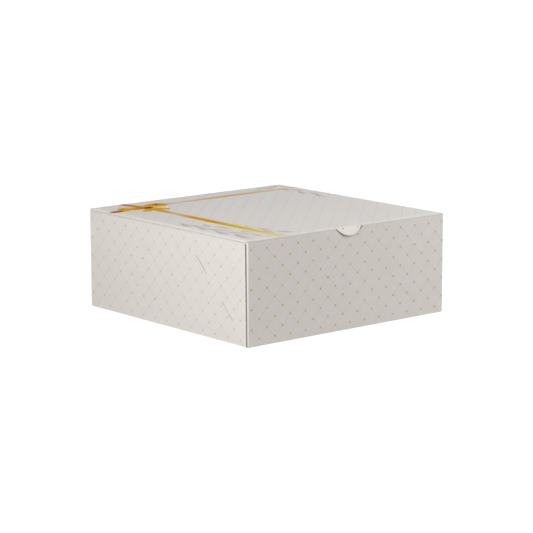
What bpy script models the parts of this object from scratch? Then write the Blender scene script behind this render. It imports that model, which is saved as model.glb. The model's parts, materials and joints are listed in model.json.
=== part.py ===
"""A square cake box: one sheet of folding boxboard, scored, folded up and glued at its corners.

Each panel between two creases is a solid of its own. A panel is drawn as the outer skin of the
board, its creases are rolled round their own axes, and a Solidify modifier gives the skin the
thickness of the board. The frame is +X right, +Y back, +Z up, from the middle of the underside.
"""

import math

import bmesh
import bpy
from mathutils import Matrix, Vector

# Board and creases
BOARD = 0.0006
GAP = 0.0003
CREASE_INNER_RADIUS = 0.0004
CORNER_INNER_RADIUS = 0.0012
FOLD_STEPS_PER_TURN = 24
ARC_STEPS = 20
CORNER_STEPS = 5

# Box
BOX_WIDTH = 0.254
BOX_DEPTH = 0.254
BOX_HEIGHT = 0.1016
LID_CLEARANCE = 0.0005
CORNER_RELIEF = 0.002
SIDE_SETBACK = 0.003

# Cuts on the diagonal folds of the side walls: the front ones are cut-scored, the back ones creased
CUT_LENGTH = 0.023
CUT_WIDTH = 0.0008
FRONT_CUTS = 2
BACK_CUTS = 0

# Glue flaps behind the corners of the side walls
GLUE_FLAP_WIDTH = 0.035
GLUE_TOP_MARGIN = 0.004
GLUE_FOLD_MARGIN = 0.006
GLUE_CORNER_RADIUS = 0.004

# Tuck flap at the lid's front edge
TUCK_DEPTH = 0.030
TUCK_END_INSET = 0.006
TUCK_TAPER = 0.007
TUCK_CORNER_RADIUS = 0.012

# Flaps at the lid's left and right edges
SIDE_FLAP_DEPTH = 0.025
SIDE_FLAP_FRONT_INSET = 0.018
SIDE_FLAP_BACK_INSET = 0.016
SIDE_FLAP_TAPER = 0.008
SIDE_FLAP_SLOPE_SHARE = 0.4
SIDE_FLAP_CORNER_RADIUS = 0.006

# Thumb tab, and the notches round it
TAB_WIDTH = 0.0325
TAB_LENGTH = 0.0083
TAB_CUT = 0.0004
NOTCH_MARGIN = 0.0012

# How the flaps stand when the box is closed
FLAP_LEAN = math.radians(6.5)
TAB_LEAN = math.radians(23)
CURL = math.radians(140)
SQUARE_FOLD = math.radians(90)

# Worked out from the sizes above
HALF_WIDTH = BOX_WIDTH / 2
HALF_DEPTH = BOX_DEPTH / 2
CREASE_RADIUS = BOARD + CREASE_INNER_RADIUS
CORNER_RADIUS = BOARD + CORNER_INNER_RADIUS
LINING = BOARD + GAP
WALL_TOP = BOX_HEIGHT - BOARD - LID_CLEARANCE
FOLD_HEIGHT = BOX_HEIGHT - CREASE_RADIUS
HINGE_Y = HALF_DEPTH - CREASE_RADIUS
BACK_WALL_TOP = FOLD_HEIGHT - CREASE_RADIUS - GAP
LID_EDGE_X = HALF_WIDTH - LINING
LID_EDGE_Y = HALF_DEPTH - LINING
SIDE_FOLD_X = LID_EDGE_X - CREASE_RADIUS
TUCK_FOLD_Y = LID_EDGE_Y - CREASE_RADIUS
BEAD_REACH = math.sqrt((CREASE_RADIUS + GAP) ** 2 - CREASE_INNER_RADIUS**2)
TUCK_HALF_LENGTH = LID_EDGE_X - TUCK_END_INSET
SIDE_FLAP_FRONT = SIDE_FLAP_FRONT_INSET - LID_EDGE_Y
SIDE_FLAP_BACK = HINGE_Y - SIDE_FLAP_BACK_INSET
SCORE_OFFSET = GAP / 2

# Directions of a panel's outer face: along it, up it, and out of it
X_AXIS = Vector((1, 0, 0))
Y_AXIS = Vector((0, 1, 0))
Z_AXIS = Vector((0, 0, 1))

COATED_WHITE = (0.79, 0.77, 0.74, 1)
PLAIN_WHITE = (0.70, 0.68, 0.65, 1)
PRINT_ROUGHNESS = 0.45
PLAIN_ROUGHNESS = 0.75


def clear_scene():
    for thing in list(bpy.data.objects):
        bpy.data.objects.remove(thing, do_unlink=True)


def boxboard(name, colour, roughness):
    """Folding boxboard: a matt paper, a little smoother on its coated side."""
    material = bpy.data.materials.new(name)
    material.use_nodes = True
    shader = material.node_tree.nodes["Principled BSDF"]
    shader.inputs["Base Color"].default_value = colour
    shader.inputs["Roughness"].default_value = roughness
    shader.inputs["Metallic"].default_value = 0
    return material


# Outlines are lists of (along, up) on a panel's outer face, anticlockwise as seen from outside


def mirrored(outline):
    """The same outline on the other hand, still anticlockwise."""
    return [(-along, up) for along, up in reversed(outline)]


def rounded(outline, radii):
    """An outline whose corners are rounded, each by its own radius, where that isn't zero."""
    points = []
    for index, corner in enumerate(outline):
        radius = radii[index]
        here = Vector(corner)
        before = Vector(outline[index - 1]) - here
        after = Vector(outline[(index + 1) % len(outline)]) - here
        if radius == 0:
            points.append(corner)
            continue
        half_angle = before.angle(after) / 2
        bisector = (before.normalized() + after.normalized()).normalized()
        centre = here + bisector * radius / math.sin(half_angle)
        start = here + before.normalized() * radius / math.tan(half_angle) - centre
        end = here + after.normalized() * radius / math.tan(half_angle) - centre
        turn = start.angle_signed(end)
        for step in range(CORNER_STEPS + 1):
            share = step / CORNER_STEPS
            points.append(tuple(centre + Matrix.Rotation(-turn * share, 2) @ start))
    return points


def half_moon(width, depth, level):
    """The points of a half-moon that hangs from a level line, from its left end to its right."""
    radius = (width**2 / 4 + depth**2) / (2 * depth)
    reach = math.asin(width / 2 / radius)
    points = []
    for step in range(ARC_STEPS + 1):
        angle = reach * (2 * step / ARC_STEPS - 1)
        drop = radius * math.cos(angle) - radius * math.cos(reach)
        points.append((radius * math.sin(angle), level - drop))
    return points


def panel(name, outline, origin, along, up, material, folds=(), skin_height=0):
    """One panel of board. Its skin is the outline, on a plane through the origin.

    Each fold is (start, end, radius, angle): the edge between those two points of the outline
    is rolled inwards round an axis that lies one radius behind the skin.
    """
    mesh = bpy.data.meshes.new(name)
    skin = bmesh.new()
    corners = [skin.verts.new((u, v, skin_height)) for u, v in outline]
    face = skin.faces.new(corners)
    for start, end, radius, angle in folds:
        first = corners[outline.index(start)]
        last = corners[outline.index(end)]
        edge = skin.edges.get((first, last))
        steps = max(2, round(FOLD_STEPS_PER_TURN * angle / math.tau))
        bmesh.ops.spin(
            skin,
            geom=[edge],
            cent=first.co - Z_AXIS * radius,
            axis=last.co - first.co,
            angle=angle,
            steps=steps,
            use_duplicate=False,
        )
    bmesh.ops.recalc_face_normals(skin, faces=skin.faces)
    face.normal_update()
    if face.normal.z < 0:
        bmesh.ops.reverse_faces(skin, faces=skin.faces)
    turn = Matrix((along, up, along.cross(up))).transposed().to_4x4()
    bmesh.ops.transform(skin, matrix=turn, verts=skin.verts)
    skin.to_mesh(mesh)
    skin.free()
    mesh.materials.append(material)
    board = bpy.data.objects.new(name, mesh)
    board.location = origin
    bpy.context.scene.collection.objects.link(board)
    wall = board.modifiers.new("Board", "SOLIDIFY")
    wall.thickness = BOARD
    wall.offset = -1
    wall.use_even_offset = True
    return board


def base_panel(material):
    """The bottom, with its corners trimmed where the creases meet."""
    edge_x = HALF_WIDTH - CREASE_RADIUS - GAP
    edge_y = HALF_DEPTH - CREASE_RADIUS - GAP
    right_half = [
        (edge_x - CORNER_RELIEF, -edge_y),
        (edge_x, -edge_y + CORNER_RELIEF),
        (edge_x, edge_y - CORNER_RELIEF),
        (edge_x - CORNER_RELIEF, edge_y),
    ]
    outline = right_half + mirrored(right_half)
    panel("base_panel", outline, Vector((0, 0, 0)), X_AXIS, -Y_AXIS, material)


def end_wall(name, top, notch, origin, along, material):
    """The front or back wall: it rolls under to the base, and ends at a corner crease each side."""
    side_edge = LID_EDGE_X - CORNER_RADIUS - GAP
    right_half = [
        (side_edge - CORNER_RELIEF, CREASE_RADIUS),
        (side_edge, CREASE_RADIUS + CORNER_RELIEF),
        (side_edge, top),
    ]
    left_half = mirrored(right_half)
    outline = right_half + notch[::-1] + left_half
    folds = [(left_half[-1], right_half[0], CREASE_RADIUS, SQUARE_FOLD)]
    panel(name, outline, origin, along, Z_AXIS, material, folds)


def side_wall(name, origin, along, material):
    """The middle of a side wall, between its two diagonal folds. It rolls under to the base."""
    score = HALF_DEPTH - SCORE_OFFSET * math.sqrt(2)
    foot = score - CREASE_RADIUS - CORNER_RELIEF
    head = score - WALL_TOP
    right_half = [
        (foot, CREASE_RADIUS),
        (foot, score - foot),
        (head, WALL_TOP),
    ]
    outline = right_half + mirrored(right_half)
    folds = [(outline[-1], outline[0], CREASE_RADIUS, SQUARE_FOLD)]
    panel(name, outline, origin, along, Z_AXIS, material, folds)


def on_diagonal(distance, offset):
    """A point so far up the diagonal fold from the bottom corner, and so far above its line."""
    share = math.sqrt(0.5)
    return (HALF_DEPTH + (offset - distance) * share, (offset + distance) * share)


def wall_corner_outline(cuts):
    """The corner of a side wall beyond its diagonal, with the open cuts of a cut-score, if any."""
    diagonal = WALL_TOP * math.sqrt(2)
    land = (diagonal - cuts * CUT_LENGTH) / (cuts + 1)
    cut_edge = HALF_DEPTH - SIDE_SETBACK
    score = HALF_DEPTH + SCORE_OFFSET * math.sqrt(2)
    outline = [(cut_edge, score - cut_edge), (cut_edge, WALL_TOP), (score - WALL_TOP, WALL_TOP)]
    cut_offset = CUT_WIDTH - SCORE_OFFSET
    for cut in reversed(range(cuts)):
        low = land + cut * (land + CUT_LENGTH)
        high = low + CUT_LENGTH
        outline.append(on_diagonal(high, SCORE_OFFSET))
        outline.append(on_diagonal(high - cut_offset, cut_offset))
        outline.append(on_diagonal(low + cut_offset, cut_offset))
        outline.append(on_diagonal(low, SCORE_OFFSET))
    return outline


def glue_flap(name, wall_top, turned, origin, along, material):
    """A glue flap, rolled round the box's corner to meet its wall. It widens with the diagonal.

    Its top slopes down, so that where the lid's side flap begins it is already below the part
    of that flap which has leaned in by less than the thickness of the board.
    """
    crease = HALF_DEPTH - CORNER_RADIUS
    far = HALF_DEPTH - GLUE_FLAP_WIDTH
    flap_start = GAP - SIDE_FLAP_FRONT
    clear_top = FOLD_HEIGHT - LINING / math.sin(FLAP_LEAN) - GLUE_TOP_MARGIN
    slope = (wall_top - clear_top) / (crease - flap_start)
    foot = (crease, CREASE_RADIUS + CORNER_RELIEF)
    head = (crease, wall_top)
    corners = [
        foot,
        head,
        (far, wall_top - slope * (crease - far)),
        (far, HALF_DEPTH - far + GLUE_FOLD_MARGIN),
    ]
    outline = rounded(corners, [0, 0, GLUE_CORNER_RADIUS, GLUE_CORNER_RADIUS])
    fold = (foot, head, CORNER_RADIUS, SQUARE_FOLD)
    if not turned:
        outline = mirrored(outline)
        fold = (outline[-2], outline[-1], CORNER_RADIUS, SQUARE_FOLD)
    panel(name, outline, origin, along, Z_AXIS, material, [fold])


def side(name, hand, along, printed, plain):
    """A side wall in its three parts, and the two glue flaps behind it."""
    wall_face = Vector((hand * HALF_WIDTH, 0, 0))
    flap_face = Vector((hand * LID_EDGE_X, 0, 0))
    side_wall(f"{name}_wall", wall_face, along, printed)
    ends = {"front": (-1, WALL_TOP, FRONT_CUTS), "back": (1, BACK_WALL_TOP, BACK_CUTS)}
    for end, (toward, wall_top, cuts) in ends.items():
        turned = toward * along.y > 0
        corner = wall_corner_outline(cuts)
        corner = corner if turned else mirrored(corner)
        panel(f"{name}_{end}_corner", corner, wall_face, along, Z_AXIS, printed)
        glue_flap(f"{end}_{name}_glue_flap", wall_top, turned, flap_face, along, plain)


def lid_panel(material):
    """The lid, rolled over its back crease, with a recess along each flap's bead."""
    inner_x = SIDE_FOLD_X - BEAD_REACH
    inner_y = TUCK_FOLD_Y - BEAD_REACH
    tuck_end = TUCK_HALF_LENGTH + GAP
    right_half = [
        (tuck_end, -inner_y),
        (tuck_end, -LID_EDGE_Y),
        (LID_EDGE_X, -LID_EDGE_Y),
        (LID_EDGE_X, SIDE_FLAP_FRONT - GAP),
        (inner_x, SIDE_FLAP_FRONT - GAP),
        (inner_x, SIDE_FLAP_BACK + GAP),
        (LID_EDGE_X, SIDE_FLAP_BACK + GAP),
        (LID_EDGE_X, HINGE_Y),
    ]
    left_half = mirrored(right_half)
    outline = right_half + left_half
    local = [(u, v - HINGE_Y) for u, v in outline]
    folds = [(local[len(right_half) - 1], local[len(right_half)], CREASE_RADIUS, CURL)]
    hinge = Vector((0, HINGE_Y, FOLD_HEIGHT))
    panel("lid_panel", local, hinge, X_AXIS, Y_AXIS, material, folds, CREASE_RADIUS)


def tuck_flap(material):
    """The flap behind the front wall, hung from a bead on each side of the thumb tab's hole."""
    hole = half_moon(TAB_WIDTH + 2 * TAB_CUT, TAB_LENGTH + TAB_CUT, 0)
    half_foot = TUCK_HALF_LENGTH - TUCK_TAPER
    corners = [(-half_foot, -TUCK_DEPTH), (half_foot, -TUCK_DEPTH), (TUCK_HALF_LENGTH, 0)]
    corners.append((-TUCK_HALF_LENGTH, 0))
    outline = rounded(corners, [TUCK_CORNER_RADIUS, TUCK_CORNER_RADIUS, 0, 0])
    outline[-1:-1] = hole[::-1]
    folds = [
        (corners[2], hole[-1], CREASE_RADIUS, CURL),
        (hole[0], corners[3], CREASE_RADIUS, CURL),
    ]
    crease = Vector((0, -TUCK_FOLD_Y, FOLD_HEIGHT))
    flap = panel("tuck_flap", outline, crease, X_AXIS, Z_AXIS, material, folds, CREASE_RADIUS)
    flap.rotation_euler.x = FLAP_LEAN


def thumb_tab(material):
    """The half-moon cut from the tuck flap, which leans out through the front wall's notch."""
    outline = half_moon(TAB_WIDTH, TAB_LENGTH, 0)
    folds = [(outline[-1], outline[0], CREASE_RADIUS, CURL)]
    crease = Vector((0, -TUCK_FOLD_Y, FOLD_HEIGHT))
    tab = panel("thumb_tab", outline, crease, X_AXIS, Z_AXIS, material, folds, CREASE_RADIUS)
    tab.rotation_euler.x = -TAB_LEAN


def lid_side_flap(name, hand, along, material):
    """A flap inside a side wall. It is cut back to a slope near the hinge, to swing clear."""
    hinge_end = HINGE_Y - SIDE_FLAP_BACK
    slope_end = HINGE_Y - SIDE_FLAP_DEPTH / SIDE_FLAP_SLOPE_SHARE
    outline = [
        (SIDE_FLAP_BACK, -hinge_end * SIDE_FLAP_SLOPE_SHARE),
        (SIDE_FLAP_BACK, 0),
        (SIDE_FLAP_FRONT, 0),
        (SIDE_FLAP_FRONT + SIDE_FLAP_TAPER, -SIDE_FLAP_DEPTH),
        (slope_end, -SIDE_FLAP_DEPTH),
    ]
    radii = [0, 0, 0, SIDE_FLAP_CORNER_RADIUS, SIDE_FLAP_CORNER_RADIUS]
    outline = rounded(outline, radii)
    fold = (outline[1], outline[2], CREASE_RADIUS, CURL)
    if along.y < 0:
        outline = mirrored(outline)
        fold = (outline[-3], outline[-2], CREASE_RADIUS, CURL)
    crease = Vector((hand * SIDE_FOLD_X, 0, FOLD_HEIGHT))
    flap = panel(name, outline, crease, along, Z_AXIS, material, [fold], CREASE_RADIUS)
    flap.rotation_euler.y = hand * FLAP_LEAN


def build():
    clear_scene()
    printed = boxboard("coated white board", COATED_WHITE, PRINT_ROUGHNESS)
    plain = boxboard("uncoated board", PLAIN_WHITE, PLAIN_ROUGHNESS)
    notch = half_moon(TAB_WIDTH + 2 * NOTCH_MARGIN, TAB_LENGTH - BOARD, WALL_TOP)
    front_face = Vector((0, -HALF_DEPTH, 0))
    back_face = Vector((0, HALF_DEPTH, 0))
    base_panel(plain)
    end_wall("front_wall", WALL_TOP, notch, front_face, X_AXIS, printed)
    end_wall("back_wall", BACK_WALL_TOP, [], back_face, -X_AXIS, printed)
    side("left", -1, -Y_AXIS, printed, plain)
    side("right", 1, Y_AXIS, printed, plain)
    lid_panel(printed)
    tuck_flap(printed)
    thumb_tab(printed)
    lid_side_flap("lid_left_flap", -1, -Y_AXIS, printed)
    lid_side_flap("lid_right_flap", 1, Y_AXIS, printed)


build()
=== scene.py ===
# %% [markdown]
# # A cake box, printed flat and folded
#
# A cake box like this starts as one flat sheet of white folding boxboard. It is printed, cut with
# a steel rule die, creased, glued at four corners and only then set up. This lesson makes the
# box's looks in that same order: each panel is drawn flat, its print is laid out on the flat
# sheet, and one Geometry Nodes group folds sheet and print together along the creases. Nothing
# then has to be matched up afterwards, because a dot on a crease bends with the board.

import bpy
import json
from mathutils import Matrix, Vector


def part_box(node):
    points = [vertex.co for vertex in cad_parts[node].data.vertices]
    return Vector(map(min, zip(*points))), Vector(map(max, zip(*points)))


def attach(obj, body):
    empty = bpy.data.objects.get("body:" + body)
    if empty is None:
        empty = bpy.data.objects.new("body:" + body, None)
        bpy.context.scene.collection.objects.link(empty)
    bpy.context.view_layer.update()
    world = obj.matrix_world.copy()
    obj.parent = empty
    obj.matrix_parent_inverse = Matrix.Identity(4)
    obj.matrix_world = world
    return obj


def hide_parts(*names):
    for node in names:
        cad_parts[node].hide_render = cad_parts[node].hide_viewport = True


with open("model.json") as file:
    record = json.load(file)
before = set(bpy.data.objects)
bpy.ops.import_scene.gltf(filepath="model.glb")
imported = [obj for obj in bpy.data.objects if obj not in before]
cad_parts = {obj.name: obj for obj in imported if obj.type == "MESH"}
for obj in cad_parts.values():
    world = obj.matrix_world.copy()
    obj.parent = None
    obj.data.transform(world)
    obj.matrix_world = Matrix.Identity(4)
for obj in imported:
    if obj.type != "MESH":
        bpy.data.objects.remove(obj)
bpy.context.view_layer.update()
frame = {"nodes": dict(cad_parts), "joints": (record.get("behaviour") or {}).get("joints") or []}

# %% [markdown]
# ## Sizes
#
# The frame already knows where every panel and every hinge axis is, so those places are read from
# it. What is typed here is only what the frame can't tell: the thickness of the board's printed
# ply, how far ink stands up, and where the die cuts. Each printed face is set in by the height of
# the thickest ink, so that no print stands out past the frame.

# %% Sizes and places
import json
import math
from collections import namedtuple

import bmesh
import bpy
from mathutils import Euler, Matrix, Vector

MM = 0.001
INK = 0.03 * MM
PLY = 0.05 * MM
CLEARANCE = 0.01 * MM

joint_places = {joint["name"]: Vector(joint["pos_m"]) for joint in frame["joints"]}
HINGE = joint_places["lid_hinge"]
TUCK_CREASE = joint_places["tuck_fold"]
RIGHT_CREASE = joint_places["right_flap_fold"]

LEFT_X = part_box("left_wall")[0].x
FRONT_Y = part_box("front_wall")[0].y
BACK_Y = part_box("back_wall")[1].y
WALL_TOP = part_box("front_wall")[1].z
BACK_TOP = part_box("back_wall")[1].z
LID_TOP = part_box("lid_panel")[1].z
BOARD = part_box("base_panel")[1].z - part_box("base_panel")[0].z
ROLL = LID_TOP - TUCK_CREASE.z
HALF_WIDTH = -LEFT_X
print(f"box {2 * HALF_WIDTH / MM:.1f} mm wide, board {BOARD / MM:.2f} mm, crease {ROLL / MM:.2f} mm")

# %% [markdown]
# ## One function for nodes
#
# Materials and Geometry Nodes are both trees of nodes. One function adds a node, sets it up and
# plugs in its inputs. They come by name, or as a plain list in the order of the node's sockets. A
# value can be a number, a socket, or another node, which then means its first output in use. A
# colour ramp also gets its stops, each a place on the ramp and a hex colour, and a math node gets
# its operation.

# %% A node, its settings and its links
MATH = "ShaderNodeMath"
VECTOR = "ShaderNodeVectorMath"
NOISE = "ShaderNodeTexNoise"
RAMP = "ShaderNodeValToRGB"
MIX = "ShaderNodeMix"
MAP_RANGE = "ShaderNodeMapRange"
ATTRIBUTE = "ShaderNodeAttribute"
COMBINE = "ShaderNodeCombineXYZ"


def colour(hex_code, alpha=1.0):
    """An sRGB hex colour as the linear values that shaders work with."""
    shares = [int(hex_code[place : place + 2], 16) / 255 for place in (1, 3, 5)]
    linear = [s / 12.92 if s <= 0.04045 else ((s + 0.055) / 1.055) ** 2.4 for s in shares]
    return (*linear, alpha)


def plug(tree, node, inputs):
    """Fills a node's inputs: a number is typed in, a socket or another node is linked."""
    for key, value in inputs.items():
        if isinstance(value, bpy.types.Node):
            value = next(socket for socket in value.outputs if socket.enabled)
        if isinstance(value, bpy.types.NodeSocket):
            tree.links.new(value, node.inputs[key])
        else:
            node.inputs[key].default_value = value


def add(tree, kind, inputs=(), operation=None, stops=(), **settings):
    """Adds a node with its settings, its inputs and, on a colour ramp, its stops."""
    node = tree.nodes.new(kind)
    if operation:
        settings["operation"] = operation
    for setting, value in settings.items():
        setattr(node, setting, value)
    for number, (place, shade) in enumerate(stops):
        if number > 1:
            node.color_ramp.elements.new(place)
        node.color_ramp.elements[number].position = place
        node.color_ramp.elements[number].color = colour(shade)
    plug(tree, node, inputs if isinstance(inputs, dict) else dict(enumerate(inputs)))
    return node


print("white board", [round(value, 3) for value in colour("#EAE6E1")])

# %% [markdown]
# ## The board's surfaces
#
# Folding boxboard is pressed from several plies of fibre. Its face is coated with white clay, which
# takes the print and a satin varnish. Its reverse is bare fibre: creamier and matt. The cut edge
# shows the fibres end on. A sheet therefore needs three materials, and the thickening step below
# gives each of its faces the right one. A fourth, a darker fibre, is painted shade for a corner
# groove.
# Single fibres are too fine to show in the render, so their streaks are drawn coarser than they are.
#
# The fine lines of the lattice are thin ink, so they belong in the coated face's material. They are
# drawn from an attribute that every flat sheet carries: its place on the print layout in
# millimetres. The folded creases still carry the flat layout, so the lines run over them unbroken.
# A second attribute whitens the creases, where bending cracks the coating and its print. That white
# is partly painted highlight on the rolled creases and the side walls' frayed front edges, and
# wholly painted highlight along the lid's edges and on the thumb tab.

# %% Coated and printed face
LATTICE_PITCH = 19.07
LINE_HALF_WIDTH = 0.10
LINE_SOFTNESS = 0.12
LINE_STRENGTH = 0.3
LINE_INK = "#B9A68C"
# The white of cracked coating. It is also used as painted highlight on edges and on the thumb tab.
CRACKED_COATING_AND_HIGHLIGHT = "#F8F4EE"
FIBRE_RELIEF = 0.05 * MM


def new_material(name):
    """An empty material, with its tree of nodes and the shader in it."""
    material = bpy.data.materials.new(name)
    material.use_nodes = True
    return material, material.node_tree, material.node_tree.nodes["Principled BSDF"]


def coated_board():
    """Clay-coated boxboard with a satin varnish: an even white, with a faint mottle of the fibre."""
    material, tree, shader = new_material("clay_coated_boxboard_printed")
    layout = add(tree, ATTRIBUTE, attribute_name="print_mm").outputs["Vector"]
    u, v = add(tree, "ShaderNodeSeparateXYZ", [layout]).outputs[:2]
    rising = add(tree, MATH, [add(tree, MATH, [u, v]), LATTICE_PITCH / 2], "PINGPONG")
    difference = add(tree, MATH, [u, v], "SUBTRACT")
    falling = add(tree, MATH, [difference, LATTICE_PITCH / 2], "PINGPONG")
    nearest = add(tree, MATH, [rising, falling], "MINIMUM")
    fade = {"From Min": LINE_HALF_WIDTH * math.sqrt(2), "To Min": LINE_STRENGTH, "To Max": 0.0}
    fade["From Max"] = (LINE_HALF_WIDTH + LINE_SOFTNESS) * math.sqrt(2)
    line = add(tree, MAP_RANGE, {"Value": nearest} | fade)
    mottle = add(tree, NOISE, {"Vector": layout, "Scale": 0.09, "Detail": 4})
    white = add(tree, RAMP, {"Fac": mottle}, stops=[(0, "#E6E1DC"), (1, "#ECE8E3")])
    ink = {"Factor": line, "A": white, "B": colour(LINE_INK)}
    inked = add(tree, MIX, ink, data_type="RGBA")
    # Whitening: cracked coating on the creases, and painted highlight where edges and the tab catch
    # the light.
    wear = add(tree, ATTRIBUTE, attribute_name="wear").outputs["Fac"]
    cracks_and_highlight = {"Factor": wear, "A": inked, "B": colour(CRACKED_COATING_AND_HIGHLIGHT)}
    worn_and_highlit = add(tree, MIX, cracks_and_highlight, data_type="RGBA")
    orange_peel = add(tree, NOISE, {"Vector": layout, "Scale": 1.4, "Detail": 3})
    sheen = add(tree, MAP_RANGE, {"Value": orange_peel, "To Min": 0.40, "To Max": 0.52})
    bumps = {"Height": orange_peel, "Strength": 0.08, "Distance": FIBRE_RELIEF}
    relief = add(tree, "ShaderNodeBump", bumps)
    looks = {"Base Color": worn_and_highlit, "Roughness": sheen, "Normal": relief}
    plug(tree, shader, looks | {"IOR": 1.5, "Specular IOR Level": 0.02})
    return material


COATED = coated_board()
print("made", COATED.name)

# %% Plain reverse, cut edge and painted groove shade


def fibre_board(name, dark, light, grain, roughness):
    """Uncoated fibre: matt, with short fibres that show as soft streaks. Grain is their size in mm."""
    material, tree, shader = new_material(name)
    place = add(tree, "ShaderNodeTexCoord").outputs["Object"]
    stretched = add(tree, "ShaderNodeMapping", {"Vector": place, "Scale": (1, 0.35, 1)})
    streaks = {"Scale": 1 / (grain * MM), "Detail": 5, "Roughness": 0.65}
    fibres = add(tree, NOISE, {"Vector": stretched} | streaks)
    tone = add(tree, RAMP, {"Fac": fibres}, stops=[(0.3, dark), (0.7, light)])
    bumps = {"Height": fibres, "Strength": 0.25, "Distance": FIBRE_RELIEF}
    relief = add(tree, "ShaderNodeBump", bumps)
    looks = {"Base Color": tone, "Normal": relief, "Roughness": roughness, "IOR": 1.45}
    plug(tree, shader, looks)
    return material


REVERSE = fibre_board("uncoated_boxboard_reverse", "#D6CFC5", "#E2DCD3", 1.5, 0.85)
CUT_EDGE = fibre_board("die_cut_board_edge", "#ABA298", "#BFB6AC", 0.2, 0.9)
# A darker fibre colour for the corner groove. It is painted shade, where the recess lies in shadow.
PAINTED_GROOVE_SHADE = fibre_board("bare_board_stained_by_dried_glue", "#877A70", "#A3968C", 3.0, 0.6)
print("made", REVERSE.name, CUT_EDGE.name, "and", PAINTED_GROOVE_SHADE.name)

# %% [markdown]
# ## The fold
#
# Every crease on this box does the same thing: the board beyond the crease line rolls round a small
# radius and goes on straight. That rule is written once, as a Geometry Nodes group. For a point at
# a distance s beyond the crease, the first part of s is spent on the arc and the rest runs on past
# it. Heights above the face are kept, so ink that stands on the sheet folds with it.
#
# A sheet's creases are folded one after another. Where a part folds back over the line of another
# crease, that other crease comes first, so that it leaves the part alone.

# %% The crease as a node group
UPWARD = (0.0, 0.0, 1.0)


def group_tree(name, inputs):
    """An empty Geometry Nodes tree: geometry in, geometry out, and the named inputs given."""
    tree = bpy.data.node_groups.new(name, "GeometryNodeTree")
    tree.interface.new_socket("Geometry", in_out="OUTPUT", socket_type="NodeSocketGeometry")
    tree.interface.new_socket("Geometry", in_out="INPUT", socket_type="NodeSocketGeometry")
    for label, kind in inputs.items():
        tree.interface.new_socket(label, in_out="INPUT", socket_type=f"NodeSocket{kind}")
    return tree


def finished(tree, geometry, material):
    """The end that every tree here has: real geometry, one material, and the output."""
    real = add(tree, "GeometryNodeRealizeInstances", {"Geometry": geometry})
    coated = add(tree, "GeometryNodeSetMaterial", {"Geometry": real, "Material": material})
    add(tree, "NodeGroupOutput", {"Geometry": coated})
    return tree


def crease_tree():
    """Folds what lies beyond a crease line, round an axis that is one radius under the face."""
    inputs = {"Point": "Vector", "Across": "Vector", "Half length": "Float"}
    inputs |= {"Radius": "Float", "Angle": "Float", "Material": "Material"}
    tree = group_tree("Fold at a crease", inputs)
    given = add(tree, "NodeGroupInput").outputs

    point = add(tree, "GeometryNodeInputPosition")
    offset = add(tree, VECTOR, [point, given["Point"]], "SUBTRACT")
    beyond = add(tree, VECTOR, [offset, given["Across"]], "DOT_PRODUCT")
    height = add(tree, VECTOR, [offset, UPWARD], "DOT_PRODUCT")
    along_line = add(tree, VECTOR, [given["Across"], UPWARD], "CROSS_PRODUCT")
    sideways = add(tree, VECTOR, [offset, along_line], "DOT_PRODUCT")
    distance = add(tree, MATH, [sideways], "ABSOLUTE")
    on_crease = add(tree, MATH, [distance, given["Half length"]], "LESS_THAN")
    arc = add(tree, MATH, [given["Radius"], given["Angle"]], "MULTIPLY")
    positive = add(tree, MATH, [beyond, 0.0], "MAXIMUM")
    bent = add(tree, MATH, [positive, arc], "MINIMUM")
    turn = add(tree, MATH, [bent, given["Radius"]], "DIVIDE")
    sine = add(tree, MATH, [turn], "SINE")
    cosine = add(tree, MATH, [turn], "COSINE")
    straight = add(tree, MATH, [beyond, bent], "SUBTRACT")
    lever = add(tree, MATH, [given["Radius"], height], "ADD")
    run = add(tree, MATH, [straight, cosine], "MULTIPLY")
    out = add(tree, MATH, [lever, sine, run], "MULTIPLY_ADD")
    drop = add(tree, MATH, [straight, sine], "MULTIPLY")
    rise = add(tree, MATH, [lever, cosine], "MULTIPLY")
    up = add(tree, MATH, [rise, drop], "SUBTRACT")
    out_move = add(tree, MATH, [out, beyond], "SUBTRACT")
    up_move = add(tree, MATH, [up, lever], "SUBTRACT")
    outward = {"Vector": given["Across"], "Scale": out_move}
    upward = {"Vector": UPWARD, "Scale": up_move}
    moves = [add(tree, VECTOR, way, "SCALE") for way in (outward, upward)]
    change = {"Selection": on_crease, "Offset": add(tree, VECTOR, moves)}
    bend = {"Geometry": given["Geometry"]} | change
    moved = add(tree, "GeometryNodeSetPosition", bend)
    return finished(tree, moved, given["Material"])


FOLD = crease_tree()
print("the fold has", len(FOLD.nodes), "nodes")

# %% [markdown]
# ## From a flat outline to a folded board
#
# A panel is drawn as a flat outline. A die would now press its creases in, and here they are cut
# into narrow strips, so that the bend has enough facets to look round. Each flat sheet then gets
# one fold modifier for each of its creases, is baked to a plain mesh, gets the thickness of board
# from a Solidify modifier, and is baked again and set in its place on the box.
#
# A modifier's inputs are known by an identifier and not by their name, so one small function looks
# them up.

# %% Modifiers and baking


def use_nodes(piece, tree, **values):
    """Adds a Geometry Nodes modifier, with its inputs set by their identifiers."""
    modifier = piece.modifiers.new(tree.name, "NODES")
    modifier.node_group = tree
    for socket in tree.interface.items_tree:
        label = socket.name.lower().replace(" ", "_")
        if socket.in_out == "INPUT" and label in values:
            value = values[label]
            modifier[socket.identifier] = tuple(value) if isinstance(value, Vector) else value


def bake(piece):
    """Turns what the modifiers make of a piece into its own plain mesh."""
    graph = bpy.context.evaluated_depsgraph_get()
    evaluated = piece.evaluated_get(graph)
    layers = {"preserve_all_data_layers": True, "depsgraph": graph}
    mesh = bpy.data.meshes.new_from_object(evaluated, **layers)
    piece.modifiers.clear()
    piece.data = mesh
    mesh.name = piece.name

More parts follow.
